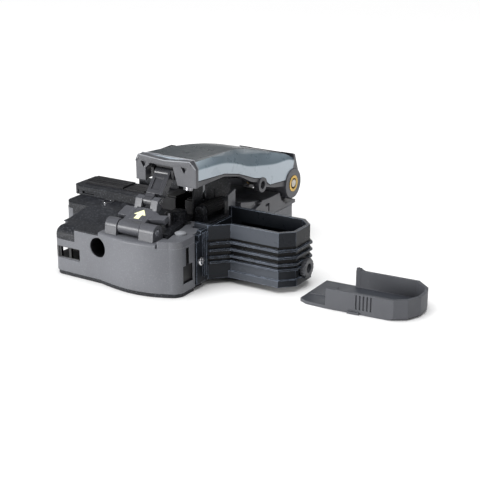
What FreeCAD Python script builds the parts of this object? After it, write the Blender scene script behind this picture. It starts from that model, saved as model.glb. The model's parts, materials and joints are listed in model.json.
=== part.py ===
import FreeCAD, Part
import math
import os

os.makedirs("parts", exist_ok=True)
V = FreeCAD.Vector

# ---------------------------------------------------------------- dimensions
# Millimetres. +X runs along the fibre towards the scrap bin, +Y away from the
# operator, +Z up. The origin is the centre of the resting face.
WALL = 2.0            # moulded casing wall
SIDE_X = 30.9         # right side of the front casing
LEFT_X = -32.8        # left side of the front casing
WING_X = -46.5        # left end of the wing under the fibre guide
CORNER_R, WING_R = 4.4, 5.7
FRONT_Y = -56.0       # foremost point of the bulged front
REAR_Y = 56.0         # back of the base
CASE_Z0, CASE_Z1 = 1.8, 21.0
BAND_Z = 22.6         # raised band along the front edge
DECK_Z = 23.6         # top of the textured deck
SUNK_Z = 21.8         # sunk strip of the deck beside the scrap bin
CAP_Z = 24.0          # top of the bevelled cap at the front right
POST_X, POST_Y = 14.5, -34.1    # domed stop post beside the arm
STRIKE = (19.6, -27.6)          # steel disc under the lid magnet

FIBRE_Y, FIBRE_Z = -9.0, 30.0   # line on which the fibre lies
WALL_TOP = (35.8, 35.3)         # clamp wall, front and back ends
BLADE_X = 7.5         # plane of the blade wheel
BLADE_R = 7.0
BLADE_Z = 23.0
BLADE_Y = 8.0         # blade centre with the lid open
BLADE_TRAVEL = 21.0   # towards the operator as the lid shuts

HINGE_Y, HINGE_Z = 50.0, 23.5   # lid axis, along X
LID_CLOSE = 10.0      # degrees from the open stop to shut
LID_X0, LID_X1 = -3.6, 26.4

ARM_Y, ARM_Z = -49.0, 25.8      # arm axis, along X
ARM_FOLD = 20.0       # degrees the arm drops as the lid shuts
ARM_REACH, ARM_RISE = 14.65, 3.7   # arm axis to link axis, arm lying flat
LINK_FOLD = 44.0      # degrees the link drops as the lid shuts
PIN2_Y, PIN2_Z = -28.0, 44.5    # upper link pin with the lid open

BIN_Z0, BIN_Z1 = 2.6, 25.9
BIN_WALL = 1.4
PORT_Z = 15.9
COVER_AT, COVER_TURN = (71.5, -29.1), 4.0   # detached cover on the table


# ------------------------------------------------------------------- helpers
def box(x0, x1, y0, y1, z0, z1):
    return Part.makeBox(x1 - x0, y1 - y0, z1 - z0, V(x0, y0, z0))


def cylx(r, y, z, x0, x1):
    return Part.makeCylinder(r, x1 - x0, V(x0, y, z), V(1, 0, 0))


def cyly(r, x, z, y0, y1):
    return Part.makeCylinder(r, y1 - y0, V(x, y0, z), V(0, 1, 0))


def cylz(r, x, y, z0, z1):
    return Part.makeCylinder(r, z1 - z0, V(x, y, z0), V(0, 0, 1))


def prism(points, along):
    wire = Part.makePolygon(points + [points[0]])
    return Part.Face(wire).extrude(along)


def prism_x(yz, x0, x1):
    return prism([V(x0, y, z) for y, z in yz], V(x1 - x0, 0, 0))


def prism_y(xz, y0, y1):
    return prism([V(x, y0, z) for x, z in xz], V(0, y1 - y0, 0))


def prism_z(xy, z0, z1):
    return prism([V(x, y, z0) for x, y in xy], V(0, 0, z1 - z0))


def fuse(*shapes):
    result = shapes[0]
    if len(shapes) > 1:
        result = result.fuse(list(shapes[1:]))
    return result.removeSplitter()


def turn_x(shape, y, z, degrees):
    out = shape.copy()
    out.rotate(V(0, y, z), V(1, 0, 0), degrees)
    return out


def opened(shape):
    """Swing something drawn with the lid shut up to the open stop."""
    return turn_x(shape, HINGE_Y, HINGE_Z, -LID_CLOSE)


def turned(y, z, cy, cz, degrees):
    a = math.radians(degrees)
    dy, dz = y - cy, z - cz
    return (cy + dy * math.cos(a) - dz * math.sin(a),
            cz + dy * math.sin(a) + dz * math.cos(a))


def edges_where(shape, test):
    return [e for e in shape.Edges if all(test(v.Point) for v in e.Vertexes)]


def save(name, shape):
    shape.exportStep("parts/%s.step" % name)


# ------------------------------------------------------------- casing outline
def outline(d):
    """Closed plan outline of the base, moved inwards by d."""
    def line(a, b):
        return Part.makeLine(V(a[0], a[1], 0), V(b[0], b[1], 0))

    def arc(a, m, b):
        return Part.Arc(V(a[0], a[1], 0), V(m[0], m[1], 0), V(b[0], b[1], 0)).toShape()

    x1 = SIDE_X - d
    left = [(LEFT_X + CORNER_R, -52.8 + d), (-7.2, -53.3 + d)]
    bulge = Part.BSplineCurve()
    swell = [(-7.2, -53.3), (0.5, -55.0), (10.0, FRONT_Y), (20.0, -54.6), (27.0, -51.8)]
    bulge.interpolate([V(x, y + d, 0) for x, y in swell])
    k = CORNER_R - d
    steps = [(x1, -47.4), (x1, -39.0 - d), (29.4 - d, -39.0 - d), (29.4 - d, -31.0 - d),
             (23.8 - d, -31.0 - d), (23.8 - d, d), (25.2 - d, d), (25.2 - d, 51.0)]
    back = [(20.2, REAR_Y - d), (-19.0, REAR_Y - d)]
    wing = [(-24.0 + d, 51.0), (-24.0 + d, 2.0 - d), (WING_X + d, 2.0 - d),
            (WING_X + d, -29.0 + WING_R)]
    flank = [(WING_X + WING_R, -29.0 + d), (LEFT_X + d, -29.0 + d), (LEFT_X + d, -52.8 + d + k)]
    m = 0.293 * (WING_R - d) + d
    edges = [line(*left), bulge.toShape(),
             arc((27.0, -51.8 + d), (x1 - 1.1, -50.0 + 0.7 * d), steps[0])]
    edges += [line(a, b) for a, b in zip(steps, steps[1:])]
    edges.append(arc(steps[-1], (25.2 - d - 1.46, 54.54 - 0.9 * d), back[0]))
    edges.append(line(*back))
    edges.append(arc(back[1], (-24.0 + d + 1.46, 54.54 - 0.9 * d), wing[0]))
    edges += [line(a, b) for a, b in zip(wing, wing[1:])]
    edges.append(arc(wing[-1], (WING_X + m, -29.0 + m), flank[0]))
    edges += [line(a, b) for a, b in zip(flank, flank[1:])]
    edges.append(arc(flank[-1], (LEFT_X + d + 0.293 * k, -52.8 + d + 0.293 * k), left[0]))
    return Part.Wire(edges)


def slab(d, z0, z1):
    wire = outline(d)
    wire.translate(V(0, 0, z0))
    return Part.Face(wire).extrude(V(0, 0, z1 - z0))


# right-hand cap on the casing: seam runs back and slightly left
CAP = [(32.0, -58.0), (22.6, -58.0), (22.6, -48.0), (17.2, -24.2), (23.4, -23.9),
       (23.6, -30.9), (29.2, -30.9), (32.0, -39.0)]
SCREWS = [(-26.0, -38.0), (25.0, -36.0), (-20.4, 45.0), (20.9, 38.0)]
FEET = [(-25.0, -46.0), (25.0, -45.5), (-18.0, 50.0), (19.0, 50.0)]


def base_plate():
    plate = slab(0.5, 0.0, CASE_Z0)
    for x, y in FEET:
        plate = plate.cut(cylz(3.6, x, y, -0.1, 0.9))
    for x, y in SCREWS:
        plate = plate.cut(fuse(cylz(1.15, x, y, -0.1, 2.0), cylz(2.1, x, y, -0.1, 1.2)))
    return plate


def rubber_feet():
    return Part.makeCompound([cylz(3.5, x, y, 0.0, 0.9) for x, y in FEET])


def base_screws():
    out = []
    for x, y in SCREWS:
        head = cylz(1.9, x, y, 0.55, 1.2).cut(box(x - 1.3, x + 1.3, y - 0.25, y + 0.25, 0.5, 0.85))
        out.append(fuse(head, cylz(0.95, x, y, 1.1, 7.0)))
    return Part.makeCompound(out)


# ------------------------------------------------------------- lower casing
def lower_casing():
    body = slab(0, CASE_Z0, CASE_Z1)
    band = slab(0, CASE_Z1 - 0.5, BAND_Z).common(box(-7.6, 21.8, -60, -45, 15, 30))
    lip = edges_where(band, lambda p: p.z > BAND_Z - 0.01 and p.y < -50)
    band = band.makeFillet(0.9, lip)
    body = body.cut(box(-60, 60, 6, 60, 12.4, 30))
    body = body.cut(slab(WALL, CASE_Z0 - 1, CASE_Z1 - WALL))
    body = body.cut(slab(WALL, 10, CASE_Z1 + 1).common(box(-60, 60, 8, 60, 0, 30)))
    body = fuse(body, band)
    # front-left corner is capped by the deck
    body = body.cut(box(-46, -20.5, -60, -44, 15.9, 30))
    body = body.cut(box(WING_X + WING_R, LEFT_X, -30.0, -28.2, 17.5, 30))
    # strap loop: two slots in front, open to the left side
    body = fuse(body, box(-31.8, -16.6, -51.5, -41.0, 6.4, 14.4).cut(box(-34, -29.8, -54, -49.8, 0, 20)))
    body = body.cut(box(-34, -18.2, -50.9, -43.0, 7.9, 12.6))
    body = body.cut(box(-29.6, -18.0, -54, -52.2, 7.5, 12.9))
    for x0, x1 in ((-28.6, -24.4), (-23.2, -18.8)):
        body = body.cut(box(x0, x1, -54, -50, 8.1, 12.4))
    # blind port in the front, and its tube inside
    gusset = box(LEFT_X + 1.3, -28.0, -38.6, -37.4, CASE_Z0, 11.0)
    body = fuse(body, cyly(5.6, -7.8, 14.6, -52.5, -39.5), gusset, *screw_bosses())
    body = body.cut(cyly(4.3, -7.8, PORT_Z, -58, -41.0))
    # right side: upright slot and square pocket; screw hole for the bin bracket
    body = body.cut(box(29.6, 32, -45.5, -43.1, 12.6, 20.3))
    body = body.cut(box(29.9, 32, -47.5, -40.6, 5.4, 13.0))
    body = body.cut(cylx(0.98, -36.5, 12.5, 26, 31))
    # slot for the blade wheel and its post; release button hole
    body = body.cut(blade_slot())
    return body.cut(fuse(cylz(2.2, 25.2, -40.8, 15, 30), cylz(2.8, 25.2, -40.8, 20.4, 30)))


def blade_slot():
    """Room for the wheel, its post and its screw over the whole stroke."""
    return box(BLADE_X - 2.3, BLADE_X + 2.3, BLADE_Y - BLADE_TRAVEL - 8.5, BLADE_Y + 8.5, 15, 40)


def screw_bosses():
    return [cylz(3.0, x, y, CASE_Z0, 11.0).cut(cylz(0.98, x, y, 0, 7.5)) for x, y in SCREWS]


def top_deck():
    field = box(-60, 23.8, -45.0, 5.8, 0, 40).cut(prism_z(CAP, 0, 40))
    deck = slab(0.25, CASE_Z1, DECK_Z).common(field)
    # the front of the deck falls away in a slow ramp; the scrap side is sunk
    ramp = [(-46.0, 21.35), (-41.0, 21.5), (-27.5, 23.62), (-27.5, 26), (-46.0, 26)]
    deck = deck.cut(prism_x(ramp, -50, -4.7))
    deck = deck.cut(box(16.2, 24.0, -23.6, 6.0, SUNK_Z, 30))
    corner = slab(0.0, 15.9, 21.4).common(box(-46, -20.5, -60, -44, 0, 40))
    shoulder = edges_where(corner, lambda p: p.z > 21.3 and (p.y < -46 or p.x < -28))
    corner = corner.makeFillet(4.2, shoulder)
    skirt = slab(0.0, 17.5, CASE_Z1 + 0.2).common(box(WING_X + WING_R, LEFT_X, -30.0, -28.2, 0, 40))
    apron = box(-20.5, -7.8, -53.0, -44.9, CASE_Z1, CASE_Z1 + 0.6)
    rail = prism_z([(18.2, -44.8), (21.6, -44.8), (17.0, -24.4), (13.6, -24.4)], CASE_Z1, 24.2)
    rail = rail.common(box(-40, 30, -44.8, 0, 0, 40)).cut(prism_z(CAP, 0, 40))
    drum = cylz(3.6, 12.8, -24.2, 23.0, 27.8)
    drum = drum.makeFillet(1.1, edges_where(drum, lambda p: p.z > 27.7))
    # low rail and stop block along the back of the wing
    back = fuse(box(-27.0, -5.0, 2.0, 5.7, DECK_Z - 0.5, 29.3),
                box(-15.5, -5.0, 2.0, 5.7, 29.0, 35.4))
    deck = fuse(deck, corner, skirt, apron, rail, drum, back)
    deck = deck.cut(blade_slot())
    deck = deck.cut(cylz(2.8, -28.3, -19.5, 15, 40))
    deck = deck.cut(cylz(1.72, *STRIKE, 22.6, 40))
    return deck.cut(cylz(1.35, POST_X, POST_Y, CASE_Z1 + 1.4, 40))


def side_cap():
    cap = slab(0.0, CASE_Z1, CAP_Z).common(prism_z(CAP, 0, 40))
    bevel = prism_y([(-1.0, 22.3), (0.0, 22.3), (1.8, CAP_Z + 0.1), (1.8, 26), (-1.0, 26)], -2, 26)
    bevel.rotate(V(0, 0, 0), V(0, 0, 1), 12.8)
    bevel.translate(V(22.6, -48.0, 0))
    cap = cap.cut(bevel)
    cap = cap.cut(cylz(2.75, 25.2, -40.8, 15, 40))
    return cap.cut(cylz(1.72, *STRIKE, 22.6, 40))


def release_button():
    dome = Part.makeSphere(4.2, V(25.2, -40.8, 21.2)).common(cylz(2.4, 25.2, -40.8, 22.0, 26))
    return fuse(dome, cylz(2.4, 25.2, -40.8, 21.6, 23.6), cylz(1.9, 25.2, -40.8, 17.0, 22.0))


def strike_plate():
    """Steel plate that the lid magnet lands on, and the domed stop post beside the arm."""
    dome = Part.makeSphere(1.9, V(POST_X, POST_Y, 28.3))
    post = fuse(cylz(1.3, POST_X, POST_Y, CASE_Z1 + 1.4, 29.7),
                dome.common(cylz(1.3, POST_X, POST_Y, 29.0, 31)))
    return Part.makeCompound([cylz(1.7, *STRIKE, 22.6, 24.3), post])


def arm_bracket():
    out = []
    for x0, x1 in ((-4.5, 1.2), (12.6, 19.7)):
        foot = prism_x([(-52.6, BAND_Z), (-45.4, BAND_Z), (-45.8, ARM_Z), (-52.2, ARM_Z)], x0, x1)
        out.append(fuse(foot, cylx(3.2, ARM_Y, ARM_Z, x0, x1)).cut(cylx(1.51, ARM_Y, ARM_Z, -4.0, 20)))
    return Part.makeCompound(out)


def arm_pin():
    pin = cylx(1.5, ARM_Y, ARM_Z, -4.0, 19.6)
    return pin.makeFillet(0.3, [e for e in pin.Edges if len(e.Vertexes) == 1 and e.Vertexes[0].X > 19])


# ------------------------------------------------- arm, link and their pins
P1_FLAT = (ARM_Y + ARM_REACH, ARM_Z + ARM_RISE)
P1 = turned(*P1_FLAT, ARM_Y, ARM_Z, ARM_FOLD)
LINK_LEN = math.hypot(PIN2_Y - P1[0], PIN2_Z - P1[1])
LINK_ANGLE = math.degrees(math.atan2(PIN2_Z - P1[1], PIN2_Y - P1[0]))


def raised(shape):
    """Lift something drawn with the arm lying flat to its rest slope."""
    return turn_x(shape, ARM_Y, ARM_Z, ARM_FOLD)


def clamp_arm():
    y1, z1 = P1_FLAT
    plate = box(1.5, 12.3, ARM_Y, -37.6, 25.2, 28.0)
    ear = [(-41.0, 25.2), (y1, 27.3), (y1 + 1.7, z1), (y1 + 0.9, z1 + 1.8), (y1 - 1.6, z1 + 1.8),
           (-38.6, 28.0), (-41.0, 28.0)]
    ears = [prism_x(ear, 1.5, 4.8), prism_x(ear, 9.4, 12.7)]
    paddle = [(12.3, -44.4), (19.4, -42.8), (19.4, -39.6), (15.8, -40.4), (12.3, -38.6)]
    right = prism_z(paddle, 25.4, 27.9)
    left = box(-3.8, 1.5, -44.2, -38.0, 25.3, 27.9)
    left = left.makeFillet(1.1, edges_where(left, lambda p: p.x < -3.7))
    arm = fuse(cylx(2.9, ARM_Y, ARM_Z, 1.6, 12.2), plate, right, left, *ears)
    arm = arm.cut(box(3.1, 10.7, -46.0, -38.2, 27.3, 29.0))
    arm = arm.cut(cylx(1.56, ARM_Y, ARM_Z, 0, 14)).cut(cylx(1.01, y1, z1, 0, 14))
    return raised(arm)


ARROW = [(5.7, -45.2), (8.1, -45.2), (8.1, -42.4), (9.8, -42.4), (6.9, -39.0), (4.0, -42.4), (5.7, -42.4)]


def arrow_plate():
    plate = box(3.2, 10.6, -45.9, -38.3, 27.3, 27.95)
    return raised(plate.cut(prism_z(ARROW, 27.6, 29)))


def arrow_mark():
    return raised(prism_z(ARROW, 27.6, 28.0))


def link_arm():
    n = LINK_LEN
    body = fuse(box(5.0, 13.0, 2.9, n, -1.5, 1.7), cylx(2.1, n, 0, 5.0, 13.0),
                cylx(2.1, 0, 0, 5.0, 9.2), box(5.0, 9.2, 0, 3.2, -1.3, 1.5),
                box(12.0, 13.0, 3.4, n, 1.5, 2.1))
    body = body.cut(box(6.4, 10.8, 4.6, n - 3.2, 1.1, 3.0))
    body = body.cut(cylx(1.06, 0, 0, 0, 14)).cut(cylx(1.01, n, 0, 0, 14))
    body.rotate(V(0, 0, 0), V(1, 0, 0), LINK_ANGLE)
    body.translate(V(0, P1[0], P1[1]))
    return body


def link_pins():
    return cylx(1.0, P1[0], P1[1], 1.5, 12.9), cylx(1.0, PIN2_Y, PIN2_Z, 3.4, 14.7)


def slot_path(steps=6):
    """Where the upper link pin runs, seen from the lid, from open to shut."""
    out = []
    for i in range(steps + 1):
        f = i / steps
        a = math.radians(ARM_FOLD * (1 - f))
        b = math.radians(LINK_ANGLE - LINK_FOLD * f)
        y = ARM_Y + ARM_REACH * math.cos(a) - ARM_RISE * math.sin(a) + LINK_LEN * math.cos(b)
        z = ARM_Z + ARM_REACH * math.sin(a) + ARM_RISE * math.cos(a) + LINK_LEN * math.sin(b)
        out.append(turned(y, z, HINGE_Y, HINGE_Z, -LID_CLOSE * f))
    return out


def lid_bracket():
    cheek = [(-29.9, 42.6), (-16.3, 41.0), (-16.3, 47.2), (-28.6, 48.0), (-29.9, 46.6)]
    out = fuse(prism_x(cheek, 3.3, 4.6), prism_x(cheek, 13.4, 14.7),
               prism_x([(-28.4, 47.0), (-16.3, 46.9), (-16.3, 47.5), (-28.4, 48.0)], 3.3, 14.7))
    path = slot_path()
    for (ya, za), (yb, zb) in zip(path, path[1:]):
        out = out.cut(cylx(1.2, ya, za, 3, 15)).cut(cylx(1.2, yb, zb, 3, 15))
        n = math.hypot(yb - ya, zb - za)
        dy, dz = 1.2 * (za - zb) / n, 1.2 * (yb - ya) / n
        track = [(ya + dy, za + dz), (yb + dy, zb + dz), (yb - dy, zb - dz), (ya - dy, za - dz)]
        out = out.cut(prism_x(track, 3, 15))
    return out


# ----------------------------------------------------------------------- lid
# side y: lower edge, shoulder height, crown half-inset, crown height
LID_SECTIONS = [(-28.9, 40.0, 48.6, 1.8, 51.9), (-9.0, 40.0, 46.9, 3.2, 50.5),
                (2.0, 37.0, 44.0, 4.9, 49.4), (10.5, 33.0, 41.0, 6.2, 48.1),
                (22.0, 27.0, 38.7, 5.6, 45.4), (34.2, 24.0, 36.7, 3.9, 41.9),
                (46.0, 22.0, 35.9, 2.2, 38.4), (51.6, 22.0, 34.4, 1.6, 35.7)]
SHELL_SIDE = [(-28.9, 43.6), (-9.0, 42.1), (2.3, 39.3), (16.0, 34.1), (18.0, 33.6), (25.6, 31.6),
              (26.6, 29.6), (29.4, 27.8), (44.3, 26.3), (50.4, 30.6), (51.6, 35.9), (51.6, 60),
              (-28.9, 60)]


def lid_loft(inset):
    rings = []
    for y, zb, zs, c, zc in LID_SECTIONS:
        x0, x1, k = LID_X0 + inset, LID_X1 - inset, inset * 0.8
        yy = min(y, 51.6 - inset) if inset else y
        top = zc - inset
        pts = [(x0, zb - inset), (x0, zs - k), (x0 + c, top), (x1 - c, top), (x1, zs - k), (x1, zb - inset)]
        pts = [V(x, yy, z) for x, z in pts]
        rings.append(Part.makePolygon(pts + [pts[0]]))
    return Part.makeLoft(rings, True, True)


def lid_shell():
    shell = lid_loft(0).common(prism_x(SHELL_SIDE, -10, 40))
    shell = shell.cut(lid_loft(1.5)).cut(cylx(3.6, 22.1, 29.6, 20, 30))
    return shell.cut(cylx(7.3, HINGE_Y, HINGE_Z, -10, 40)).removeSplitter()


SKIRT = [(-28.9, 41.0), (-9.0, 40.9), (3.6, 37.9), (13.7, 32.9), (18.6, 31.6), (26.0, 27.6),
         (34.0, 25.4), (43.4, 23.6), (50.0, 30.0), (44.4, 26.2), (29.3, 27.7), (26.4, 29.5),
         (25.4, 31.5), (18.0, 33.5), (16.0, 34.0), (2.3, 39.2), (-9.0, 42.0), (-28.9, 43.5)]
INNER = [(-28.9, 41.0), (-9.0, 40.9), (3.6, 37.9), (13.7, 32.9), (18.6, 31.6), (26.0, 28.6),
         (34.0, 27.4), (43.4, 26.6), (46.0, 31.0), (46.0, 33.0), (34.0, 33.0), (22.0, 35.0),
         (10.5, 38.0), (2.0, 42.0), (-9.0, 45.0), (-28.9, 46.5)]
REAR = [(50.6, 29.9), (51.75, 35.9), (51.0, 37.6), (52.6, 37.0), (56.8, 26.0), (56.0, 21.0),
        (50.0, 23.5), (47.0, 25.0)]
WEB = [(-28.9, 49.8), (-9.0, 48.5), (2.0, 47.4), (10.0, 46.1), (22.0, 43.4), (34.0, 39.9),
       (44.0, 36.8), (44.0, 35.8), (34.0, 38.9), (22.0, 42.4), (10.0, 45.1), (2.0, 46.4),
       (-9.0, 47.5), (-28.9, 48.8)]


def lid_frame():
    pieces = [prism_x(WEB, 4.6, 18.2), box(4.6, 18.2, -29.2, -28.6, 48.0, 49.6)]
    for x0, x1, xa, xb in ((LID_X0 + 0.2, -0.4, -1.9, -0.4), (23.2, LID_X1 - 0.2, 23.2, 24.7)):
        pieces.append(prism_x(SKIRT, x0, x1))
        pieces.append(prism_x(INNER, xa, xb))
    # front end wall, with the tall opening for the link
    face = prism_y([(-3.7, 40.9), (26.4, 40.9), (26.4, 48.8), (24.2, 52.2), (12.0, 51.2),
                    (-1.5, 52.2), (-3.7, 48.8)], -30.9, -28.95)
    chevron = [(-1.8, 50.6), (12.0, 49.4), (24.6, 50.6), (24.2, 52.1), (12.0, 51.1), (-1.5, 52.1)]
    front = fuse(face, prism_y(chevron, -32.2, -30.9), box(-1.9, 3.0, -29.0, -21.0, 41.4, 46.6),
                 box(17.6, 24.7, -29.0, -21.0, 41.4, 46.6))
    mouth = [(1.1, 40), (1.1, 46.4), (3.0, 47.8), (3.0, 48.7), (14.9, 48.7), (17.6, 40)]
    front = front.cut(prism_y(mouth, -40, -20))
    for x in (0.2, 20.6):
        front = front.cut(prism_y([(x - 1.5, 49.0), (x + 1.5, 49.0), (x, 46.4)], -33, -29.6))
    pieces.append(front)
    # cross plate, hinge bosses, hanging loop
    pieces.append(prism_x([(35.0, 31.0), (35.0, 34.2), (43.6, 34.0), (43.6, 31.0)], -1.9, 24.7))
    pieces.append(prism_x([(40.0, 33.0), (40.0, 37.4), (43.8, 36.2), (43.8, 33.0)], 4.6, 18.2))
    for x0, x1 in ((-4.2, 3.2), (19.8, 27.0)):
        pieces.append(cylx(7.0, HINGE_Y, HINGE_Z, x0, x1))
        xa, xb = max(x0, LID_X0 + 0.2), min(x1, LID_X1 - 0.2)
        pieces.append(prism_x(REAR, xa, xb))
        pieces.append(prism_x([(38.0, 27.6), (44.0, 26.8), (50.0, 30.4), (46.0, 34.0), (38.0, 34.0)],
                              max(x0, -1.9), min(x1, 24.7)))
    tail = [(51.8, 35.7), (51.2, 37.4), (52.6, 37.0), (56.4, 27.0), (54.6, 27.5)]
    pieces.append(prism_x(tail, 2.0, 21.0))
    pieces.append(cylx(3.4, 22.1, 29.6, 24.0, 26.9))
    frame = fuse(*pieces)
    frame = frame.cut(cylx(3.85, HINGE_Y, HINGE_Z, -5, 30))
    frame = frame.cut(cylx(1.9, 22.1, 29.6, 20, 30))
    # centre knuckle of the base turns between the bosses
    frame = frame.cut(cylx(7.4, HINGE_Y, HINGE_Z, 3.2, 19.8))
    # magnet seat
    frame = frame.fuse(opened(box(17.9, 23.3, -31.2, -24.6, 31.0, 36.0))).removeSplitter()
    return frame.cut(opened(cylz(1.72, *STRIKE, 20, 34.0)))


def lid_magnet():
    return opened(cylz(1.7, *STRIKE, 24.7, 34.0))


def side_tab():
    return box(-4.3, -1.8, -12.0, -4.0, 47.4, 49.6).cut(lid_loft(0))


def clamp_blocks():
    post = [(-15.0, 31.1), (-3.0, 31.1), (-3.0, 35.3), (-15.0, 36.3)]
    blocks = fuse(prism_x(post, -0.2, 5.0), prism_x(post, 10.0, 15.0),
                  prism_x([(-15.0, 34.6), (-3.0, 34.0), (-3.0, 38.6), (-15.0, 38.6)], 4.8, 10.2))
    blocks = opened(blocks.cut(box(5.6, 9.4, -13.4, -4.6, 30, 40)))
    return blocks.cut(above_web())


def above_web():
    """Everything from the underside of the lid's web upwards."""
    return prism_x([(44.0, 60.0), (44.0, 35.8), (34.0, 38.9), (22.0, 42.4), (10.0, 45.1), (2.0, 46.4),
                    (-9.0, 47.5), (-28.9, 48.8), (-28.9, 60.0)], -10, 40)


def upper_pads():
    pads = [box(a, b, -14.0, -4.0, 30.35, 31.1) for a, b in ((0.2, 4.6), (10.4, 14.6))]
    return opened(Part.makeCompound(pads))


def anvil():
    bar = box(5.7, 9.3, -13.2, -4.8, 30.7, 37.0)
    bar = bar.makeFillet(1.2, [e for e in bar.Edges if all(v.Z < 31 for v in e.Vertexes)
                               and abs(e.Vertexes[0].Y - e.Vertexes[1].Y) > 1])
    return opened(bar).cut(above_web())


ROLL_X, ROLL_R, PINCH_R = 20.5, 2.9, 2.5
ROLL_Z, PINCH_Z = FIBRE_Z - 2.9, FIBRE_Z + 2.85


def pinch_holder():
    holder = fuse(box(18.3, 23.2, -18.6, -17.2, 31.4, 36.0), box(18.3, 23.2, -3.8, -2.4, 31.4, 36.0),
                  prism_x([(-18.6, 35.6), (-2.4, 35.6), (-2.4, 36.0), (-18.6, 36.4)], 18.3, 23.2))
    return opened(holder.cut(cyly(0.96, ROLL_X, PINCH_Z, -20, 0)))


def pinch_roller():
    tyre = cyly(PINCH_R, ROLL_X, PINCH_Z, -16.9, -4.1)
    for i in range(6):
        y = -15.6 + i * 2.1
        groove = cyly(PINCH_R + 1, ROLL_X, PINCH_Z, y, y + 0.5)
        tyre = tyre.cut(groove.cut(cyly(PINCH_R - 0.3, ROLL_X, PINCH_Z, -20, 0)))
    return opened(fuse(tyre, cyly(0.9, ROLL_X, PINCH_Z, -18.6, -2.4)))


def drive_roller():
    tyre = cyly(ROLL_R, ROLL_X, ROLL_Z, -16.9, -4.1)
    teeth = []
    for i in range(18):
        a = i * math.pi / 9
        teeth.append(cyly(0.3, ROLL_X + ROLL_R * math.cos(a), ROLL_Z + ROLL_R * math.sin(a), -16.9, -4.1))
    return fuse(tyre.cut(Part.makeCompound(teeth)), cyly(1.0, ROLL_X, ROLL_Z, -19.6, -1.6))


def roller_block():
    """Two bearing cheeks for the lower scrap roller."""
    out = []
    for a, b in ((-19.8, -17.3), (-3.7, -1.2)):
        cheek = fuse(box(18.1, 22.9, a, b, SUNK_Z, ROLL_Z), cyly(2.4, ROLL_X, ROLL_Z, a, b))
        out.append(cheek.cut(cyly(1.06, ROLL_X, ROLL_Z, -30, 10)))
    return Part.makeCompound(out)


def clamp_wall():
    """Thin upright wall between the fibre clamps and the scrap roller, notched for the fibre."""
    side = [(-17.4, DECK_Z), (5.75, DECK_Z), (5.75, 25.6), (11.5, 24.4), (11.5, WALL_TOP[1]),
            (-17.4, WALL_TOP[0])]
    wall = prism_x(side, 15.4, 16.2)
    notch = box(15, 17, FIBRE_Y - 1.3, FIBRE_Y + 1.3, 29.4, 40)
    return wall.cut(notch).cut(box(15, 17, -1.6, -0.9, 26.0, 32.0))


# ------------------------------------------------------------- fibre support
def lower_clamps():
    left = box(-3.2, 5.0, -15.0, 5.4, DECK_Z, 29.3)
    right = box(10.0, 15.2, -15.0, 5.4, DECK_Z, 29.3)
    return fuse(left.cut(box(-4, 6, -2.0, 8, 27, 40)), right)


def lower_pads():
    pads = [box(a, b, -14.0, -4.0, 29.3, FIBRE_Z) for a, b in ((0.2, 4.6), (10.4, 14.6))]
    return Part.makeCompound(pads)


def fibre_guide():
    block = box(-50.0, -4.0, -16.7, -0.6, DECK_Z, 27.8)
    block = block.makeFillet(2.4, edges_where(block, lambda p: p.x < -49.9 and p.y < -16.6))
    block = block.cut(box(-47.2, -3, -12.0, -2.4, 27.0, 30))
    block = block.cut(box(-47.7, -47.2, -17, -15.9, 23.4, 25.9))
    block = block.cut(box(-45.0, -38.2, -17, -15.7, 24.3, 25.5))
    return block.cut(prism_x([(-16.8, 27.2), (-16.1, 27.9), (-16.8, 27.9)], -47.2, 0))


def adapter_plate():
    plate = fuse(box(-46.8, -4.4, -11.9, -2.5, 27.0, 28.5),
                 box(-46.8, -25.6, -11.9, -2.5, 28.0, 28.9))
    groove = [(FIBRE_Y - 0.45, 29.0), (FIBRE_Y + 0.45, 29.0), (FIBRE_Y, 28.2)]
    plate = plate.cut(prism_x(groove, -50, 0))
    for y in (-11.0, -6.6):
        plate = plate.cut(box(-50, 0, y, y + 0.5, 28.2, 31))
    plate = plate.cut(box(-25.6, -24.8, -12.5, -2.0, 27.8, 31))
    return plate.cut(box(-14.0, -13.2, -12.5, -2.0, 28.0, 31))


def guide_bush():
    return cylz(2.78, -28.3, -19.5, CASE_Z1, 24.0).cut(cylz(2.0, -28.3, -19.5, 20, 25))


# ------------------------------------------------------------- blade carriage
RAILS = ((0.5, 11.0), (14.5, 11.0))


def blade_carriage():
    y = BLADE_Y
    body = box(-2.2, 17.2, y - 6, y + 6, 8.2, 13.8)
    post = box(5.5, 6.6, y - 2.6, y + 2.6, 13.0, 25.0)
    foot = box(3.4, 6.6, y - 4, y + 4, 13.0, 17.5)
    body = fuse(body, post, foot, cylx(1.0, y, BLADE_Z, 6.0, 9.0))
    for x, z in RAILS:
        body = body.cut(cyly(1.56, x, z, -40, 40))
    return body


def blade_wheel():
    disc = cylx(BLADE_R, BLADE_Y, BLADE_Z, BLADE_X - 0.5, BLADE_X + 0.5)
    rim = [e for e in disc.Edges if len(e.Vertexes) == 1]
    return disc.makeChamfer(0.42, rim).cut(cylx(1.05, BLADE_Y, BLADE_Z, 6, 10))


def blade_screw():
    head = cylx(1.9, BLADE_Y, BLADE_Z, 8.3, 9.3).cut(cylx(1.02, BLADE_Y, BLADE_Z, 8, 9.01))
    return head.cut(box(9.0, 9.4, BLADE_Y - 2, BLADE_Y + 2, BLADE_Z - 0.25, BLADE_Z + 0.25))


def guide_rails():
    return Part.makeCompound([cyly(1.5, x, z, -29.0, 22.0) for x, z in RAILS])


def rail_blocks():
    out = []
    for y0, y1 in ((-28.6, -24.2), (18.2, 22.0)):
        bar = box(-3.0, 18.0, y0, y1, CASE_Z0, 13.6)
        for x, z in RAILS:
            bar = bar.cut(cyly(1.51, x, z, -40, 40))
        out.append(bar)
    return Part.makeCompound(out)


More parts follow.
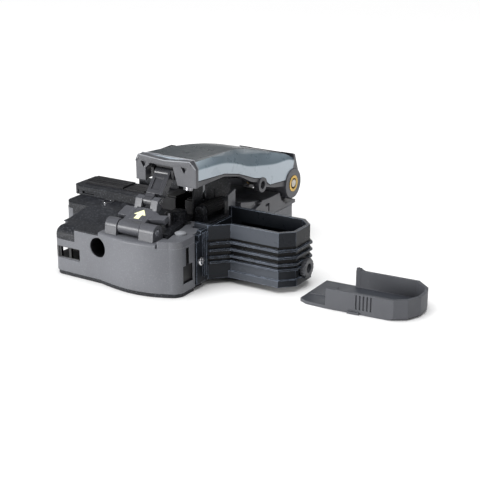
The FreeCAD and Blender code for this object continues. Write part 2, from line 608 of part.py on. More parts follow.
# ----------------------------------------------------------------- rear cover
def rear_cover():
    side = [(6.0, 12.6), (6.0, 25.2), (22.0, 21.6), (31.0, 20.9), (40.2, 21.0), (42.0, 17.0), (46.0, 14.4),
            (50.0, 13.8), (54.0, 14.4), (REAR_Y, 15.8), (REAR_Y, 12.6)]
    body = prism_x(side, -24.0, 25.2).common(slab(0.0, 12.0, 40.0))
    inside = [(7.6, 12.0), (7.6, 22.9), (22.0, 19.6), (31.0, 19.0), (38.6, 19.2), (40.6, 15.4), (44.0, 12.0)]
    body = body.cut(prism_x(inside, -22.0, 23.4).common(slab(1.8, 11.0, 40.0)))
    knuckle = fuse(cylx(6.0, HINGE_Y, HINGE_Z, 9.0, 19.5),
                   prism_x([(44.0, 12.6), (44.0, 23.5), (56.0, 23.5), (55.3, 12.6)], 9.0, 19.5))
    body = body.cut(cylx(9.6, HINGE_Y, HINGE_Z, -4.6, 30))
    body = fuse(body, knuckle, box(-4.6, 25.2, 44.0, 55.3, 12.6, 14.2))
    body = body.cut(cylx(2.52, HINGE_Y, HINGE_Z, -10, 40))
    # side pocket, hook slot and upright tab beside the bin
    body = body.cut(prism_x([(7.6, 23.0), (24.0, 20.2), (12.0, 17.2)], 24.0, 26))
    body = body.cut(box(24.2, 26, 27.4, 31.0, 17.6, 18.8)).cut(box(24.2, 26, 29.9, 31.0, 14.6, 18.8))
    body = body.cut(box(23.6, 26, 17.8, 24.2, 20.8, 30))
    # way for the blade carriage
    return body.cut(box(5.0, 10.0, 0, 17.0, 12, 40)).cut(box(-3.4, 18.4, 5, 15.5, 12, 18.4))


def deck_tab():
    return fuse(prism_x([(-0.9, SUNK_Z), (5.4, SUNK_Z), (5.4, 31.4), (-0.4, 29.8)], 21.4, 22.8),
                box(18.5, 23.6, -0.9, 5.4, SUNK_Z, 23.4))


def hinge_shaft():
    return cylx(2.5, HINGE_Y, HINGE_Z, -3.8, 26.0)


def hinge_bushes():
    out = []
    for x0, x1 in ((-4.4, 3.2), (19.8, 27.2)):
        out.append(cylx(3.8, HINGE_Y, HINGE_Z, x0, x1).cut(cylx(2.56, HINGE_Y, HINGE_Z, x0 - 1, x1 + 1)))
    return Part.makeCompound(out)


def hinge_caps():
    return Part.makeCompound([cylx(1.8, HINGE_Y, HINGE_Z, a, b) for a, b in ((-4.6, -3.8), (26.0, 27.3))])


def lid_spring():
    coils = [Part.makeTorus(3.5, 0.45, V(4.2 + 0.88 * i, HINGE_Y, HINGE_Z), V(1, 0, 0))
             for i in range(5)]
    legs = [cyly(0.42, x, HINGE_Z + dz, HINGE_Y - 5.2, HINGE_Y) for x, dz in ((4.2, -3.5), (7.72, 3.5))]
    return fuse(*coils, *legs)


# ------------------------------------------------------------------------ bin
BIN = [(24.5, -29.6), (31.7, -29.6), (31.7, -30.7), (38.6, -23.7), (61.4, -23.7), (66.6, -18.5),
       (66.6, -6.5), (61.4, -1.3), (24.5, -1.3)]
BIN_IN = [(24.5 + BIN_WALL, -28.2), (33.5, -28.2), (39.2, -22.3), (60.8, -22.3), (65.2, -17.9),
          (65.2, -7.1), (60.8, -2.7), (24.5 + BIN_WALL, -2.7)]


NECK_RIB = [(32.9, -30.9), (39.0, -24.7), (39.2, -23.5), (38.0, -23.5), (32.2, -29.5)]


def bin_band(out, z0, z1, x0):
    o = out
    pts = [(x0, -23.0), (x0, -23.7 - o), (61.4 + 0.41 * o, -23.7 - o), (66.6 + o, -18.5 - 0.41 * o),
           (66.6 + o, -6.5 + 0.41 * o), (61.4 + 0.41 * o, -1.3 + o), (x0, -1.3 + o), (x0, -2.0)]
    return prism_z(pts, z0, z1)


def bin_body():
    body = prism_z(BIN, BIN_Z0, BIN_Z1)
    for z in (10.0, 12.2, 15.2, 18.2):
        body = body.fuse(bin_band(1.0, z - 0.45, z + 0.45, 38.6))
        body = body.fuse(prism_z(NECK_RIB, z - 0.45, z + 0.45))
    body = fuse(body, bin_band(0.7, BIN_Z0, 5.6, 36.4))
    body = body.cut(prism_z(BIN_IN, 4.0, 40))
    # chute side open to the rollers
    body = body.cut(box(24, 26.2, -28.0, -2.9, 21.5, 40))
    for y in (-24.6, -17.6, -10.6):
        body = body.fuse(prism_y([(25.2, 3.5), (34.5, 3.5), (25.2, 20.5)], y, y + 1.0))
    body = body.cut(cylx(4.5, -11.3, 8.5, 66.6, 70)).cut(cylx(1.26, -11.3, 8.5, 60, 70))
    return body.removeSplitter()


def bin_bracket():
    plate = box(29.5, 31.6, -38.8, -31.1, BIN_Z0, 25.0)
    plate = plate.cut(box(29.4, 31.8, -39, -36.9, 20.8, 26)).cut(box(29.4, 31.8, -39, -35.4, 23.4, 26))
    ribs = [box(31.5, 32.5, y, y + 0.8, 5.0, 24.0) for y in (-32.6, -34.4)]
    return fuse(plate, *ribs).cut(cylx(1.06, -36.5, 12.5, 20, 40))


def bin_screw():
    head = cylx(1.9, -36.5, 12.5, 31.65, 33.0)
    head = head.makeFillet(0.55, [e for e in head.Edges if len(e.Vertexes) == 1 and e.Vertexes[0].X > 32.9])
    for w, h in ((2.6, 0.5), (0.5, 2.6)):
        head = head.cut(box(32.5, 34, -36.5 - w / 2, -36.5 + w / 2, 12.5 - h / 2, 12.5 + h / 2))
    return fuse(head, cylx(0.95, -36.5, 12.5, 27.0, 31.8))


def bin_knob():
    ring = cylx(4.0, -11.3, 8.5, 66.9, 69.0).cut(cylx(2.0, -11.3, 8.5, 67.8, 70))
    flutes = []
    for i in range(16):
        a = i * math.pi / 8
        flutes.append(cylx(0.45, -11.3 + 4.15 * math.cos(a), 8.5 + 4.15 * math.sin(a), 66, 70))
    return fuse(ring.cut(Part.makeCompound(flutes)), cylx(1.2, -11.3, 8.5, 64.4, 67.2),
                cylx(2.2, -11.3, 8.5, 64.0, 64.9))


def bin_cover():
    end = [(42.5, 0), (47.5, 2.8), (50.6, 9.0), (51.0, 15.0), (49.8, 19.5), (44.0, 25.3)]
    end_in = [(42.1, 1.3), (46.6, 3.8), (49.4, 9.3), (49.7, 14.9), (48.6, 18.9), (43.4, 24.0)]
    floor = [(1.9, 3.0), (5.5, 0.8), (14.0, 0)] + end + [(3.4, 26.0)]
    wall = [(14.0, 0)] + end + [(17.2, 25.76)]
    inside = [(10.0, 1.3)] + end_in + [(10.0, 24.6)]
    tray = fuse(prism_z(floor, 0, 1.3), prism_z(wall, 0, 8.6))
    tray = tray.makeChamfer(1.1, edges_where(tray, lambda p: p.z < 0.01 and p.x > 42))
    tray = tray.cut(prism_z(inside, 1.3, 20))
    for i in range(5):
        x = 26.8 + 1.55 * i
        tray = tray.cut(box(x, x + 0.7, -0.1, 0.5, 2.0, 8.0))
    tray = fuse(tray, box(23.6, 28.6, -0.8, 0.4, 0, 1.0), box(3.5, 11.5, 9.0, 20.0, 1.2, 1.7),
                box(17.2, 19.2, 24.4, 25.7, 1.2, 9.6),
                prism_y([(17.8, 8.4), (21.2, 8.4), (17.8, 9.8)], 24.6, 25.7))
    tray.rotate(V(0, 0, 0), V(0, 0, 1), COVER_TURN)
    tray.translate(V(COVER_AT[0], COVER_AT[1], 0))
    return tray


# ---------------------------------------------------------------------- output
pin_low, pin_high = link_pins()
NODES = {
    "base_plate": base_plate(), "rubber_feet": rubber_feet(), "base_screws": base_screws(),
    "lower_casing": lower_casing(), "top_deck": top_deck(), "side_cap": side_cap(),
    "release_button": release_button(), "strike_plate": strike_plate(), "deck_tab": deck_tab(),
    "rear_cover": rear_cover(), "arm_bracket": arm_bracket(), "arm_pin": arm_pin(),
    "clamp_arm": clamp_arm(), "arrow_plate": arrow_plate(), "arrow_mark": arrow_mark(),
    "link_pin_lower": pin_low, "link_arm": link_arm(), "link_pin_upper": pin_high,
    "lid_shell": lid_shell(), "lid_frame": lid_frame(), "lid_bracket": lid_bracket(),
    "lid_magnet": lid_magnet(), "lid_side_tab": side_tab(), "clamp_blocks": clamp_blocks(),
    "upper_pads": upper_pads(), "anvil": anvil(), "pinch_holder": pinch_holder(),
    "pinch_roller": pinch_roller(), "hinge_shaft": hinge_shaft(), "hinge_bushes": hinge_bushes(),
    "hinge_caps": hinge_caps(), "lid_spring": lid_spring(), "lower_clamps": lower_clamps(),
    "lower_pads": lower_pads(), "roller_block": roller_block(), "clamp_wall": clamp_wall(),
    "drive_roller": drive_roller(),
    "fibre_guide": fibre_guide(), "adapter_plate": adapter_plate(), "guide_bush": guide_bush(),
    "blade_carriage": blade_carriage(), "blade_wheel": blade_wheel(),
    "blade_screw": blade_screw(), "guide_rails": guide_rails(), "rail_blocks": rail_blocks(),
    "bin_body": bin_body(), "bin_bracket": bin_bracket(), "bin_screw": bin_screw(),
    "bin_knob": bin_knob(), "bin_cover": bin_cover(),
}
for name, shape in NODES.items():
    save(name, shape)
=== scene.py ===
import json
import math

import bmesh
import bpy
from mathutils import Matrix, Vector


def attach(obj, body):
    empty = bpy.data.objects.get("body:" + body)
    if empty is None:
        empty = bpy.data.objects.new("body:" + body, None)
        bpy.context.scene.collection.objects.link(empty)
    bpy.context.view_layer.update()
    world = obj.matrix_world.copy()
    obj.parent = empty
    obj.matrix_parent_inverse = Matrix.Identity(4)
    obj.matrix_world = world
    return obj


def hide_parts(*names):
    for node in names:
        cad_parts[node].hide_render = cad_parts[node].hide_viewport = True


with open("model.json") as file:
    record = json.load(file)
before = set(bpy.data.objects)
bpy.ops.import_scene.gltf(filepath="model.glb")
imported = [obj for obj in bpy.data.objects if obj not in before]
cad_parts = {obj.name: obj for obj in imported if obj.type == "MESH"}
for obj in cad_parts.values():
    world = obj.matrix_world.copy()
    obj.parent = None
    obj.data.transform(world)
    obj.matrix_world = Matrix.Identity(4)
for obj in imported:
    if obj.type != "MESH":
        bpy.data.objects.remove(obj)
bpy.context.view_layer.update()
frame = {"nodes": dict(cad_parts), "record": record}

# Lengths are millimetres in the part's own frame, x to the right, y to the rear, z up, unless a comment
# says metres. Blender itself works in metres.
MM = 0.001
scene = bpy.context.scene


# -------------------------------------------------------------- shader helpers
NOISE_LOW, NOISE_HIGH = 0.3, 0.7      # nearly all values of a noise lie between these


def new_material(name):
    """A material, its node tree and its Principled shader."""
    m = bpy.data.materials.new(name)
    m.use_nodes = True
    return m, m.node_tree, m.node_tree.nodes["Principled BSDF"]


def add(nt, kind, **values):
    """A node with some of its inputs or settings given."""
    n = nt.nodes.new(kind)
    for key, v in values.items():
        if key in n.inputs:
            n.inputs[key].default_value = v
        else:
            setattr(n, key, v)
    return n


def noise(nt, coord, scale, detail, rough=0.55, stretch=None):
    """Noise in 0 to 1. Scale is per metre, and stretch multiplies it along each axis."""
    if stretch:
        scaled = nt.nodes.new("ShaderNodeMapping")
        scaled.inputs["Scale"].default_value = stretch
        nt.links.new(coord, scaled.inputs["Vector"])
        coord = scaled.outputs["Vector"]
    n = add(nt, "ShaderNodeTexNoise", Scale=scale, Detail=detail, Roughness=rough)
    nt.links.new(coord, n.inputs["Vector"])
    return n.outputs["Fac"]


def ramp(nt, fac, stops):
    """Colour ramp over (position, colour or grey) stops."""
    n = nt.nodes.new("ShaderNodeValToRGB")
    steps = n.color_ramp.elements
    while len(steps) < len(stops):
        steps.new(0.5)
    for i, (position, c) in enumerate(stops):
        steps[i].position = position
        steps[i].color = (*c, 1) if isinstance(c, tuple) else (c, c, c, 1)
    nt.links.new(fac, n.inputs["Fac"])
    return n.outputs["Color"]


def mix(nt, fac, a, b, mode="MIX"):
    """Blend of two colours. Each argument is a socket, a colour or a number."""
    n = nt.nodes.new("ShaderNodeMix")
    n.data_type = "RGBA"
    n.blend_type = mode
    for key, kind, v in (("Factor", "VALUE", fac), ("A", "RGBA", a), ("B", "RGBA", b)):
        socket = next(i for i in n.inputs if i.name == key and i.type == kind)
        if hasattr(v, "is_output"):
            nt.links.new(v, socket)
        elif isinstance(v, tuple):
            socket.default_value = (*v, 1)
        else:
            socket.default_value = v
    return next(o for o in n.outputs if o.type == "RGBA")


def span(nt, fac, lo, hi):
    """A noise spread over lo to hi."""
    n = nt.nodes.new("ShaderNodeMapRange")
    for key, v in (("From Min", NOISE_LOW), ("From Max", NOISE_HIGH), ("To Min", lo), ("To Max", hi)):
        n.inputs[key].default_value = v
    nt.links.new(fac, n.inputs["Value"])
    return n.outputs["Result"]


def maths(nt, operation, a, b):
    """One operation on a socket and a socket or number."""
    n = add(nt, "ShaderNodeMath", operation=operation)
    nt.links.new(a, n.inputs[0])
    if hasattr(b, "is_output"):
        nt.links.new(b, n.inputs[1])
    else:
        n.inputs[1].default_value = b
    return n.outputs[0]


def within(nt, value, lo, hi):
    """1 where a coordinate lies between lo and hi."""
    n = add(nt, "ShaderNodeMath", operation="COMPARE")
    n.inputs[1].default_value = (lo + hi) / 2 * MM
    n.inputs[2].default_value = (hi - lo) / 2 * MM
    nt.links.new(value, n.inputs[0])
    return n.outputs[0]


def axes(nt, vector):
    """The x, y and z sockets of a vector socket."""
    n = nt.nodes.new("ShaderNodeSeparateXYZ")
    nt.links.new(vector, n.inputs[0])
    return n.outputs


def painted_shade_mask(nt, obj, boxes, bores=()):
    """1 inside any of the boxes (x0, x1, y0, y1, z0, z1) or bores along y (x, z, r, y0, y1), where shade
    is painted.
    """
    x_of, y_of, z_of = axes(nt, obj)
    inside = []
    for x0, x1, y0, y1, z0, z1 in boxes:
        flat = maths(nt, "MULTIPLY", within(nt, x_of, x0, x1), within(nt, y_of, y0, y1))
        inside.append(maths(nt, "MULTIPLY", flat, within(nt, z_of, z0, z1)))
    for x, z, r, y0, y1 in bores:
        upright = nt.nodes.new("ShaderNodeCombineXYZ")
        nt.links.new(x_of, upright.inputs[0])
        nt.links.new(z_of, upright.inputs[2])
        far = add(nt, "ShaderNodeVectorMath", operation="DISTANCE")
        far.inputs[1].default_value = (x * MM, 0, z * MM)
        nt.links.new(upright.outputs[0], far.inputs[0])
        near = maths(nt, "LESS_THAN", far.outputs["Value"], r * MM)
        inside.append(maths(nt, "MULTIPLY", near, within(nt, y_of, y0, y1)))
    out = inside[0]
    for part in inside[1:]:
        out = maths(nt, "MAXIMUM", out, part)
    return out


# ------------------------------------------------------------------ materials
DRIFT_SCALE = 55          # slow change of tone, per metre
MARK_SCALE = 900          # small moulding marks
EDGE_PATCH_SCALE = 420          # where the lightened edges, partly rub wear and partly a painted highlight, are stronger and weaker
SMEAR_SCALE = 170         # dull and shiny patches
BEVEL_SAMPLES = 4
COAT_ROUGHNESS = 0.14


def moulded(name, colour, rough, grain, depth, tone, edge, radius, speck=0.0, metal=0.0, coat=0.0,
            brushed=None, spec=0.5, edge_tint=(1, 1, 1), painted_light_by_slope=None, painted_front_reflection=None, painted_shade_hollows=None,
            marks=0.0):
    """Plastic or metal with surface grain, soft tone changes, and rounded edges made lighter, partly rub
    wear and partly a painted highlight.

    grain is the size of the surface grain and depth its height. tone is how far the colour drifts, as a
    share of itself. edge is how strongly edges are lightened, partly rub wear and partly a painted
    highlight, radius how far in, and edge_tint their colour.
    speck is the strength of light specks, painted glints of the grain, and marks that of dark ones.
    brushed stretches the grain.
    painted_light_by_slope gives colours for upright, sloping and level faces, as stops on the height of
    the normal: painted light and shade by how each face turns to the lamps.
    painted_front_reflection gives (colour, y0, y1) for faces towards the operator, made lighter as a
    painted reflection. hollows are boxes and bores for painted_shade_mask, painted dark inside as shade.
    """
    m, nt, shader = new_material(name)
    coords = nt.nodes.new("ShaderNodeTexCoord")
    obj, normal = coords.outputs["Object"], coords.outputs["Normal"]
    drift = noise(nt, obj, DRIFT_SCALE, 4)
    # painted light and shade: the colour is chosen by how far the face turns upward
    if painted_light_by_slope:
        upward = axes(nt, normal)[2]
        shade = ramp(nt, drift, [(0.35, 1 - tone), (0.65, 1.0)])
        base = mix(nt, 1.0, ramp(nt, upward, painted_light_by_slope), shade, "MULTIPLY")
        if coat:
            # the clear coat fades out where faces turn level
            nt.links.new(ramp(nt, upward, [(0.6, coat), (0.9, 0.0)]), shader.inputs["Coat Weight"])
    else:
        low = tuple(v * (1 - tone) for v in colour)
        high = tuple(min(1, v * (1 + tone)) for v in colour)
        base = ramp(nt, drift, [(0.35, low), (0.65, high)])
    # painted reflection: faces towards the operator between y0 and y1 take a lighter colour
    if painted_front_reflection:
        reflection_colour, y0, y1 = painted_front_reflection
        forward = maths(nt, "MULTIPLY", axes(nt, normal)[1], -1.0)
        ahead = ramp(nt, forward, [(0.80, 0.0), (0.97, 1.0)])
        where = maths(nt, "MULTIPLY", ahead, within(nt, axes(nt, obj)[1], y0, y1))
        base = mix(nt, where, base, reflection_colour)
    if marks:
        spots = ramp(nt, noise(nt, obj, MARK_SCALE, 2), [(0.60, 0.0), (0.66, marks)])
        base = mix(nt, spots, base, tuple(v * 0.15 for v in colour))
    fine = noise(nt, obj, 1 / (grain * MM), 3, 0.6, brushed)
    # painted glints: light specks mixed into the colour where the grain stands high
    if speck:
        glints = ramp(nt, fine, [(0.53, 0.0), (0.66, speck)])
        base = mix(nt, glints, base, tuple(min(1, v * 3.2 + 0.02) for v in colour))
    face = nt.nodes.new("ShaderNodeNewGeometry").outputs["Normal"]
    rounded = face
    if radius:
        # rubbed where the rounded normal leaves the normal of the face
        rounded = add(nt, "ShaderNodeBevel", Radius=radius * MM, samples=BEVEL_SAMPLES).outputs["Normal"]
        agree = add(nt, "ShaderNodeVectorMath", operation="DOT_PRODUCT")
        nt.links.new(rounded, agree.inputs[0])
        # edges lightened where the rounded normal leaves the normal of the face: partly rub wear, partly a
        # painted highlight
        nt.links.new(face, agree.inputs[1])
        rub_and_highlight = ramp(nt, agree.outputs["Value"], [(0.80, 1.0), (0.985, 0.0)])
        uneven = ramp(nt, noise(nt, obj, EDGE_PATCH_SCALE, 4), [(0.35, 0.25), (0.6, 1.0)])
        wear_and_highlight = mix(nt, 1.0, rub_and_highlight, uneven, "MULTIPLY")
        amount = mix(nt, 1.0, wear_and_highlight, (edge, edge, edge), "MULTIPLY")
        pale = tuple(min(1, v * 2.6 + 0.03) * t for v, t in zip(colour, edge_tint))
        base = mix(nt, amount, base, pale)
    # painted shade: inside the boxes and bores the colour drops to a small share of itself
    if painted_shade_hollows:
        base = mix(nt, painted_shade_mask(nt, obj, *painted_shade_hollows), base, tuple(v * 0.06 for v in colour))
    nt.links.new(base, shader.inputs["Base Color"])
    smear = noise(nt, obj, SMEAR_SCALE, 5, 0.6)
    dulled = span(nt, smear, max(0.05, rough - 0.07), min(1, rough + 0.08))
    nt.links.new(dulled, shader.inputs["Roughness"])
    bump = add(nt, "ShaderNodeBump", Strength=1.0, Distance=depth * MM)
    nt.links.new(fine, bump.inputs["Height"])
    nt.links.new(rounded, bump.inputs["Normal"])
    nt.links.new(bump.outputs["Normal"], shader.inputs["Normal"])
    shader.inputs["Metallic"].default_value = metal
    shader.inputs["Specular IOR Level"].default_value = spec
    if coat:
        shader.inputs["Coat Weight"].default_value = coat
        shader.inputs["Coat Roughness"].default_value = COAT_ROUGHNESS
    return m


# painted shade in the side slot, square pocket and strap recess, then the deep round port
CASING_SHADED_HOLLOWS = ([(29.0, 30.75, -45.6, -43.0, 12.5, 20.4), (29.0, 30.75, -47.6, -40.5, 5.3, 13.1),
                   (-32.6, -17.9, -52.6, -42.9, 7.7, 12.7)],
                  [(-7.8, 15.9, 4.4, -52.6, -40.9)])
# heights of the grooves between the ribs of the bin, darkened there as painted shade
BIN_GROOVES = ((9.0, 9.5), (10.5, 11.7), (12.7, 14.7), (15.7, 17.7), (18.7, 19.8))
BIN_SHADED_GROOVES = ([(31.0, 70.0, -31.5, 0.2, lo, hi) for lo, hi in BIN_GROOVES],)

FINISHES = {
    "casing_grey": dict(
        colour=(0.112, 0.116, 0.129), rough=0.42, grain=0.55, depth=0.030, tone=0.08, edge=0.60,
        radius=0.40, speck=0.10, painted_shade_hollows=CASING_SHADED_HOLLOWS),
    "deck_black": dict(
        colour=(0.013, 0.014, 0.017), rough=0.50, grain=0.80, depth=0.110, tone=0.30, edge=0.50,
        radius=0.35, speck=0.95, spec=0.28),
    "charcoal": dict(
        colour=(0.066, 0.068, 0.077), rough=0.38, grain=0.40, depth=0.016, tone=0.12, edge=0.70,
        radius=0.35, speck=0.12),
    "charcoal_deep": dict(
        colour=(0.042, 0.043, 0.049), rough=0.30, grain=0.40, depth=0.014, tone=0.14, edge=1.00,
        radius=0.35, speck=0.12),
    "lid_blue_grey": dict(
        colour=(0.150, 0.195, 0.235), rough=0.30, grain=0.25, depth=0.006, tone=0.06, edge=0.0,
        radius=0.0, coat=0.35, spec=0.3,
        # painted_light_by_slope paints light and shade: light upright sides, darker flanks and a near
        # black level crown
        painted_light_by_slope=[(0.12, (0.480, 0.555, 0.620)), (0.40, (0.285, 0.350, 0.400)),
                  (0.60, (0.110, 0.148, 0.178)), (0.94, (0.022, 0.031, 0.038))]),
    "bin_black": dict(
        colour=(0.012, 0.014, 0.018), rough=0.30, grain=0.40, depth=0.006, tone=0.16, edge=1.00,
        # edge_tint far above one paints bright highlight lines along the edges of the bin
        radius=0.45, spec=0.16, edge_tint=(4.5, 4.9, 5.4),
        # painted_front_reflection paints a reflection: the faces of the bin towards the operator are
        # lighter
        painted_front_reflection=((0.060, 0.067, 0.080), -33.0, -22.0), painted_shade_hollows=BIN_SHADED_GROOVES),
    "cover_grey": dict(
        colour=(0.115, 0.118, 0.130), rough=0.48, grain=0.45, depth=0.020, tone=0.10, edge=0.22,
        radius=0.30, spec=0.35,
        # painted_light_by_slope paints shade: level faces darker than upright ones
        painted_light_by_slope=[(0.30, (0.078, 0.081, 0.091)), (0.80, (0.044, 0.048, 0.057))]),
    "lid_edge": dict(
        colour=(0.26, 0.27, 0.29), rough=0.30, grain=0.30, depth=0.004, tone=0.10, edge=0.30,
        radius=0.15, coat=0.3),
    "mark_yellow": dict(
        colour=(1.00, 1.00, 0.56), rough=0.42, grain=0.25, depth=0.006, tone=0.05, edge=0.10,
        radius=0.10),
    "anodised_black": dict(
        colour=(0.010, 0.010, 0.012), rough=0.40, grain=0.30, depth=0.008, tone=0.25, edge=0.45,
        radius=0.18, metal=0.15, brushed=(0.08, 1, 1), spec=0.35),
    "steel": dict(
        colour=(0.30, 0.30, 0.32), rough=0.34, grain=0.14, depth=0.005, tone=0.12, edge=0.3,
        radius=0.12, metal=1, brushed=(0.06, 1, 1)),
    "bright_steel": dict(
        colour=(0.66, 0.66, 0.68), rough=0.20, grain=0.20, depth=0.003, tone=0.08, edge=0.3,
        radius=0.15, metal=1),
    "brass": dict(
        colour=(0.58, 0.38, 0.10), rough=0.28, grain=0.15, depth=0.004, tone=0.16, edge=0.3,
        radius=0.15, metal=1),
    "ivory": dict(
        colour=(0.62, 0.56, 0.47), rough=0.30, grain=0.25, depth=0.004, tone=0.06, edge=0.15,
        radius=0.2, coat=0.3, marks=0.6),
    "rubber_black": dict(
        colour=(0.010, 0.010, 0.011), rough=0.66, grain=0.45, depth=0.020, tone=0.2, edge=0.15,
        radius=0.15, spec=0.3),
    "blade_carbide": dict(
        colour=(0.42, 0.44, 0.48), rough=0.22, grain=0.12, depth=0.003, tone=0.15, edge=0.4,
        radius=0.08, metal=1),
}
MAT = {name: moulded(name, **look) for name, look in FINISHES.items()}

# every CAD node has the finish of its slot, apart from the button, paler as a painted highlight on its
# dome, and the darker link
CREASE = 24               # degrees, above which an edge stays sharp
FINISH_OF = {s["node"]: s["material_slot"] for s in frame["record"]["subparts"]}
FINISH_OF.update(release_button="lid_edge", link_arm="charcoal_deep")
for name, obj in frame["nodes"].items():
    obj.data.materials.clear()
    obj.data.materials.append(MAT[FINISH_OF[name]])
    obj.data.shade_smooth()
    obj.data.set_sharp_from_angle(angle=math.radians(CREASE))


# ------------------------------------------------------------ detailed pieces
def piece(name, verts, faces, finish, body, crease):
    """A mesh piece that moves with a body."""
    me = bpy.data.meshes.new(name)
    me.from_pydata([[c * MM for c in v] for v in verts], [], faces)
    bm = bmesh.new()
    bm.from_mesh(me)
    bmesh.ops.recalc_face_normals(bm, faces=bm.faces)
    bm.to_mesh(me)
    bm.free()
    me.shade_smooth()
    me.set_sharp_from_angle(angle=math.radians(crease))
    me.materials.append(MAT[finish])
    o = bpy.data.objects.new(name, me)
    scene.collection.objects.link(o)
    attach(o, body)
    return o


def smooth_at(rows, y):
    """The values at y of a smooth curve through rows of (y, value, ...)."""
    n = len(rows)
    i = max(0, min(n - 2, sum(1 for row in rows if row[0] <= y) - 1))
    before, a, b, after = [rows[max(0, min(n - 1, i + j))] for j in (-1, 0, 1, 2)]
    step = b[0] - a[0]
    t = (y - a[0]) / step
    out = []
    for c in range(1, len(rows[0])):
        slope_a = (b[c] - before[c]) / (b[0] - before[0]) * step
        slope_b = (after[c] - a[c]) / (after[0] - a[0]) * step
        out.append((2 * t**3 - 3 * t**2 + 1) * a[c] + (t**3 - 2 * t**2 + t) * slope_a
                   + (-2 * t**3 + 3 * t**2) * b[c] + (t**3 - t**2) * slope_b)
    return out


def straight_at(rows, y):
    """The value at y of straight runs between rows of (y, value)."""
    for a, b in zip(rows, rows[1:]):
        if y <= b[0]:
            return a[1] + (b[1] - a[1]) * max(0, (y - a[0])) / (b[0] - a[0])
    return rows[-1][1]


# lid shell: flat crown, sloping flanks that widen at the finger waist, upright sides
LID_LEFT, LID_RIGHT = -3.6, 26.4
SHELL_FRONT, SHELL_LENGTH, SHELL_STEPS = -28.9, 80.5, 92
SKIN = 1.5                # thickness of the shell
KINK_GAP = 0.35           # an even ring nearer than this to a kink of the hem is left out
LEAST_SIDE = 0.4          # least height of the upright side
CROWN_SWELL = 0.12        # how far the middle of the crown stands proud
CROWN_SHARES = (0.36, 0.5, 0.64)
SHELL_CREASE = 32

# y, height of the shoulder, width of the flank, height of the crown
CROWN = [(-28.9, 48.6, 1.8, 51.9), (-9.0, 46.9, 3.2, 50.5), (2.0, 44.0, 4.9, 49.4),
         (10.5, 41.0, 6.2, 48.1), (22.0, 38.7, 5.6, 45.4), (34.2, 36.7, 3.9, 41.9),
         (46.0, 35.9, 2.2, 38.4), (51.6, 34.4, 1.6, 35.7)]
# y, height of the lower edge
HEM = [(-28.9, 43.6), (-9.0, 42.1), (2.3, 39.3), (16.0, 34.1), (18.0, 33.6), (25.6, 31.6),
       (26.6, 29.6), (29.4, 27.8), (44.3, 26.3), (50.4, 30.6), (51.6, 34.2)]


def ring(y, inset):
    """Section of the shell at y, from the left hem over the crown to the right hem."""
    shoulder, flank, crown = smooth_at(CROWN, y)
    hem = min(straight_at(HEM, y), shoulder - LEAST_SIDE)
    left, right = LID_LEFT + inset, LID_RIGHT - inset
    top, low = crown - inset, shoulder - 0.8 * inset
    # upright side, rounded shoulder, flank, and rounded edge of the crown
    side = [(left, hem), (left, (hem + low) / 2), (left, low - 0.5), (left + 0.08, low - 0.15),
            (left + 0.35, low + 0.2), (left + 0.6 * flank, low + 0.6 * (top - low) + 0.10),
            (left + flank - 0.55, top - 0.30), (left + flank - 0.1, top - 0.06),
            (left + flank + 0.5, top)]
    middle = [(left + (right - left) * f, top + CROWN_SWELL * math.sin(math.pi * f)) for f in CROWN_SHARES]
    mirrored = [(left + right - x, z) for x, z in reversed(side)]
    return [(x, y, z) for x, z in side + middle + mirrored]


def shell_mesh():
    """Closed skin: outer and inner rings, joined along both hems and at both ends."""
    kinks = [y for y, _ in HEM]
    even = [SHELL_FRONT + SHELL_LENGTH * i / SHELL_STEPS for i in range(SHELL_STEPS + 1)]
    ys = sorted(kinks + [y for y in even if min(abs(y - k) for k in kinks) > KINK_GAP])
    rings = [ring(y, 0.0) for y in ys] + [ring(y, SKIN) for y in ys]
    n, w = len(ys), len(rings[0])
    faces = []
    for i in range(n - 1):
        for j in range(w - 1):
            a, b = i * w + j, (n + i) * w + j
            faces.append((a, a + 1, a + w + 1, a + w))
            faces.append((b, b + w, b + w + 1, b + 1))
        for j in (0, w - 1):
            a, b = i * w + j, (n + i) * w + j
            faces.append((a, a + w, b + w, b))
    for i in (0, n - 1):
        for j in range(w - 1):
            a, b = i * w + j, (n + i) * w + j
            faces.append((a, b, b + 1, a + 1))
    return [v for r in rings for v in r], faces


shell = piece("shell_skin", *shell_mesh(), "lid_blue_grey", "lid", SHELL_CREASE)
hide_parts("lid_shell")

BEAD_CREASE = 60


def bead(name, path, radius, finish, body, sides=8):
    """Thin round bead along a path that never runs straight up."""
    verts, faces = [], []
    last = len(path) - 1
    for i, p in enumerate(path):
        p = Vector(p)
        along = (Vector(path[min(i + 1, last)]) - Vector(path[max(i - 1, 0)])).normalized()
        u = along.cross(Vector((0, 0, 1))).normalized()
        v = along.cross(u).normalized()
        for k in range(sides):
            a = 2 * math.pi * k / sides
            verts.append(tuple(p + u * (radius * math.cos(a)) + v * (radius * math.sin(a))))
    for i in range(last):
        for k in range(sides):
            a, b = i * sides + k, i * sides + (k + 1) % sides
            faces.append((a, b, b + sides, a + sides))
    faces.append(tuple(range(sides)))
    faces.append(tuple(range(len(verts) - sides, len(verts))))
    return piece(name, verts, faces, finish, body, BEAD_CREASE)


# light beads that paint a highlight along the front edge of the shell, where it meets the frame, and along
# the lip below it
SHELL_EDGE = [(-3.7, -28.9, 48.7), (-1.7, -28.9, 52.15), (6.4, -28.2, 52.2), (7.4, -28.95, 52.2),
              (24.4, -28.95, 52.15), (26.5, -28.9, 48.7)]
LIP_EDGE = [(-3.75, -31.0, 48.9), (-1.5, -32.2, 52.15), (12.0, -32.25, 51.15), (24.2, -32.2, 52.15),
            (26.45, -31.0, 48.9)]
bead("shell_front_highlight", SHELL_EDGE, 0.26, "lid_edge", "lid")
bead("lid_lip_highlight", LIP_EDGE, 0.24, "lid_edge", "lid")

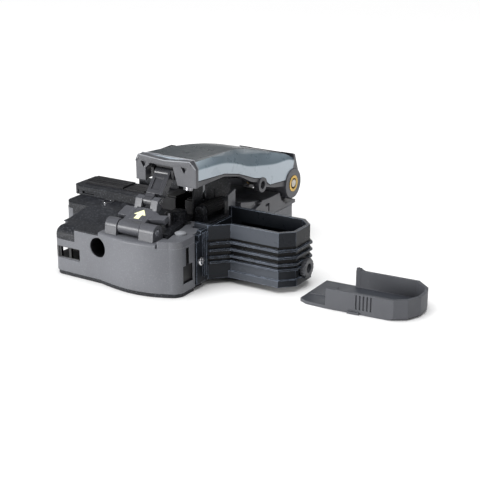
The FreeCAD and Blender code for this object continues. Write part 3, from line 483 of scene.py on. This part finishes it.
# dark parting line just under the hem of the shell, both sides
PARTING_DROP, PARTING_RADIUS = 0.06, 0.20
for tag, x in (("right", 26.30), ("left", -3.50)):
    path = [(x, y, z - PARTING_DROP) for y, z in HEM[:-1]]
    line = bead("parting_line_" + tag, path, PARTING_RADIUS, "rubber_black", "lid", sides=6)


# --------------------------------------------- lights, floor and camera, in metres
def aimed(direction):
    """Rotation that points a light or camera along a direction."""
    return Vector(direction).to_track_quat("-Z", "Y").to_euler()


def soft_box(name, width, height, watts, place, look):
    """Rectangular light at a place, turned towards another."""
    data = bpy.data.lights.new(name, "AREA")
    data.shape = "RECTANGLE"
    data.energy, data.size, data.size_y = watts, width, height
    o = bpy.data.objects.new(name, data)
    o.location = place
    o.rotation_euler = aimed(Vector(look) - Vector(place))
    scene.collection.objects.link(o)


sun = bpy.data.lights.new("sky_soft", "SUN")
sun.energy, sun.angle = 3.2, math.radians(70)
sky = bpy.data.objects.new("sky_soft", sun)
sky.rotation_euler = aimed((0.06, 0.16, -0.98))
sky.visible_glossy = False     # the soft boxes alone give the highlights
scene.collection.objects.link(sky)
soft_box("right_soft", 0.35, 0.30, 0.35, (0.55, -0.10, 0.22), (0.05, 0, 0.03))
soft_box("key_low", 0.50, 0.22, 8.0, (-0.42, -0.86, 0.15), (0.02, -0.02, 0.02))
soft_box("back_rim", 0.50, 0.12, 0.5, (-0.10, 0.55, 0.30), (0.02, 0, 0.03))

world = bpy.data.worlds.new("studio")
world.use_nodes = True
background = world.node_tree.nodes["Background"]
background.inputs["Color"].default_value = (1, 1, 1, 1)
background.inputs["Strength"].default_value = 0.16
scene.world = world
scene.view_settings.view_transform = "Standard"

FLOOR_HALF = 3.0
FLOOR_DROP = 0.00005      # keeps the floor clear of the feet
corners = [(sx * FLOOR_HALF, sy * FLOOR_HALF, 0) for sx, sy in ((-1, -1), (1, -1), (1, 1), (-1, 1))]
sheet = bpy.data.meshes.new("floor")
sheet.from_pydata(corners, [], [(0, 1, 2, 3)])
floor = bpy.data.objects.new("floor", sheet)
floor.location.z = -FLOOR_DROP
scene.collection.objects.link(floor)
white, _, floor_shader = new_material("floor_white")
floor_shader.inputs["Base Color"].default_value = (0.93, 0.93, 0.93, 1)
floor_shader.inputs["Roughness"].default_value = 0.6
sheet.materials.append(white)

# camera right of the front and a little above
AZIMUTH, ELEVATION = math.radians(31.70), math.radians(18.92)
cam = bpy.data.cameras.new("camera")
cam.lens, cam.sensor_width, cam.clip_start = 88.07, 36.0, 0.01
view = bpy.data.objects.new("camera", cam)
view.location = (0.28381, -0.41340, 0.17679)
view.rotation_euler = aimed((-math.sin(AZIMUTH) * math.cos(ELEVATION),
                             math.cos(AZIMUTH) * math.cos(ELEVATION), -math.sin(ELEVATION)))
scene.collection.objects.link(view)
scene.camera = view
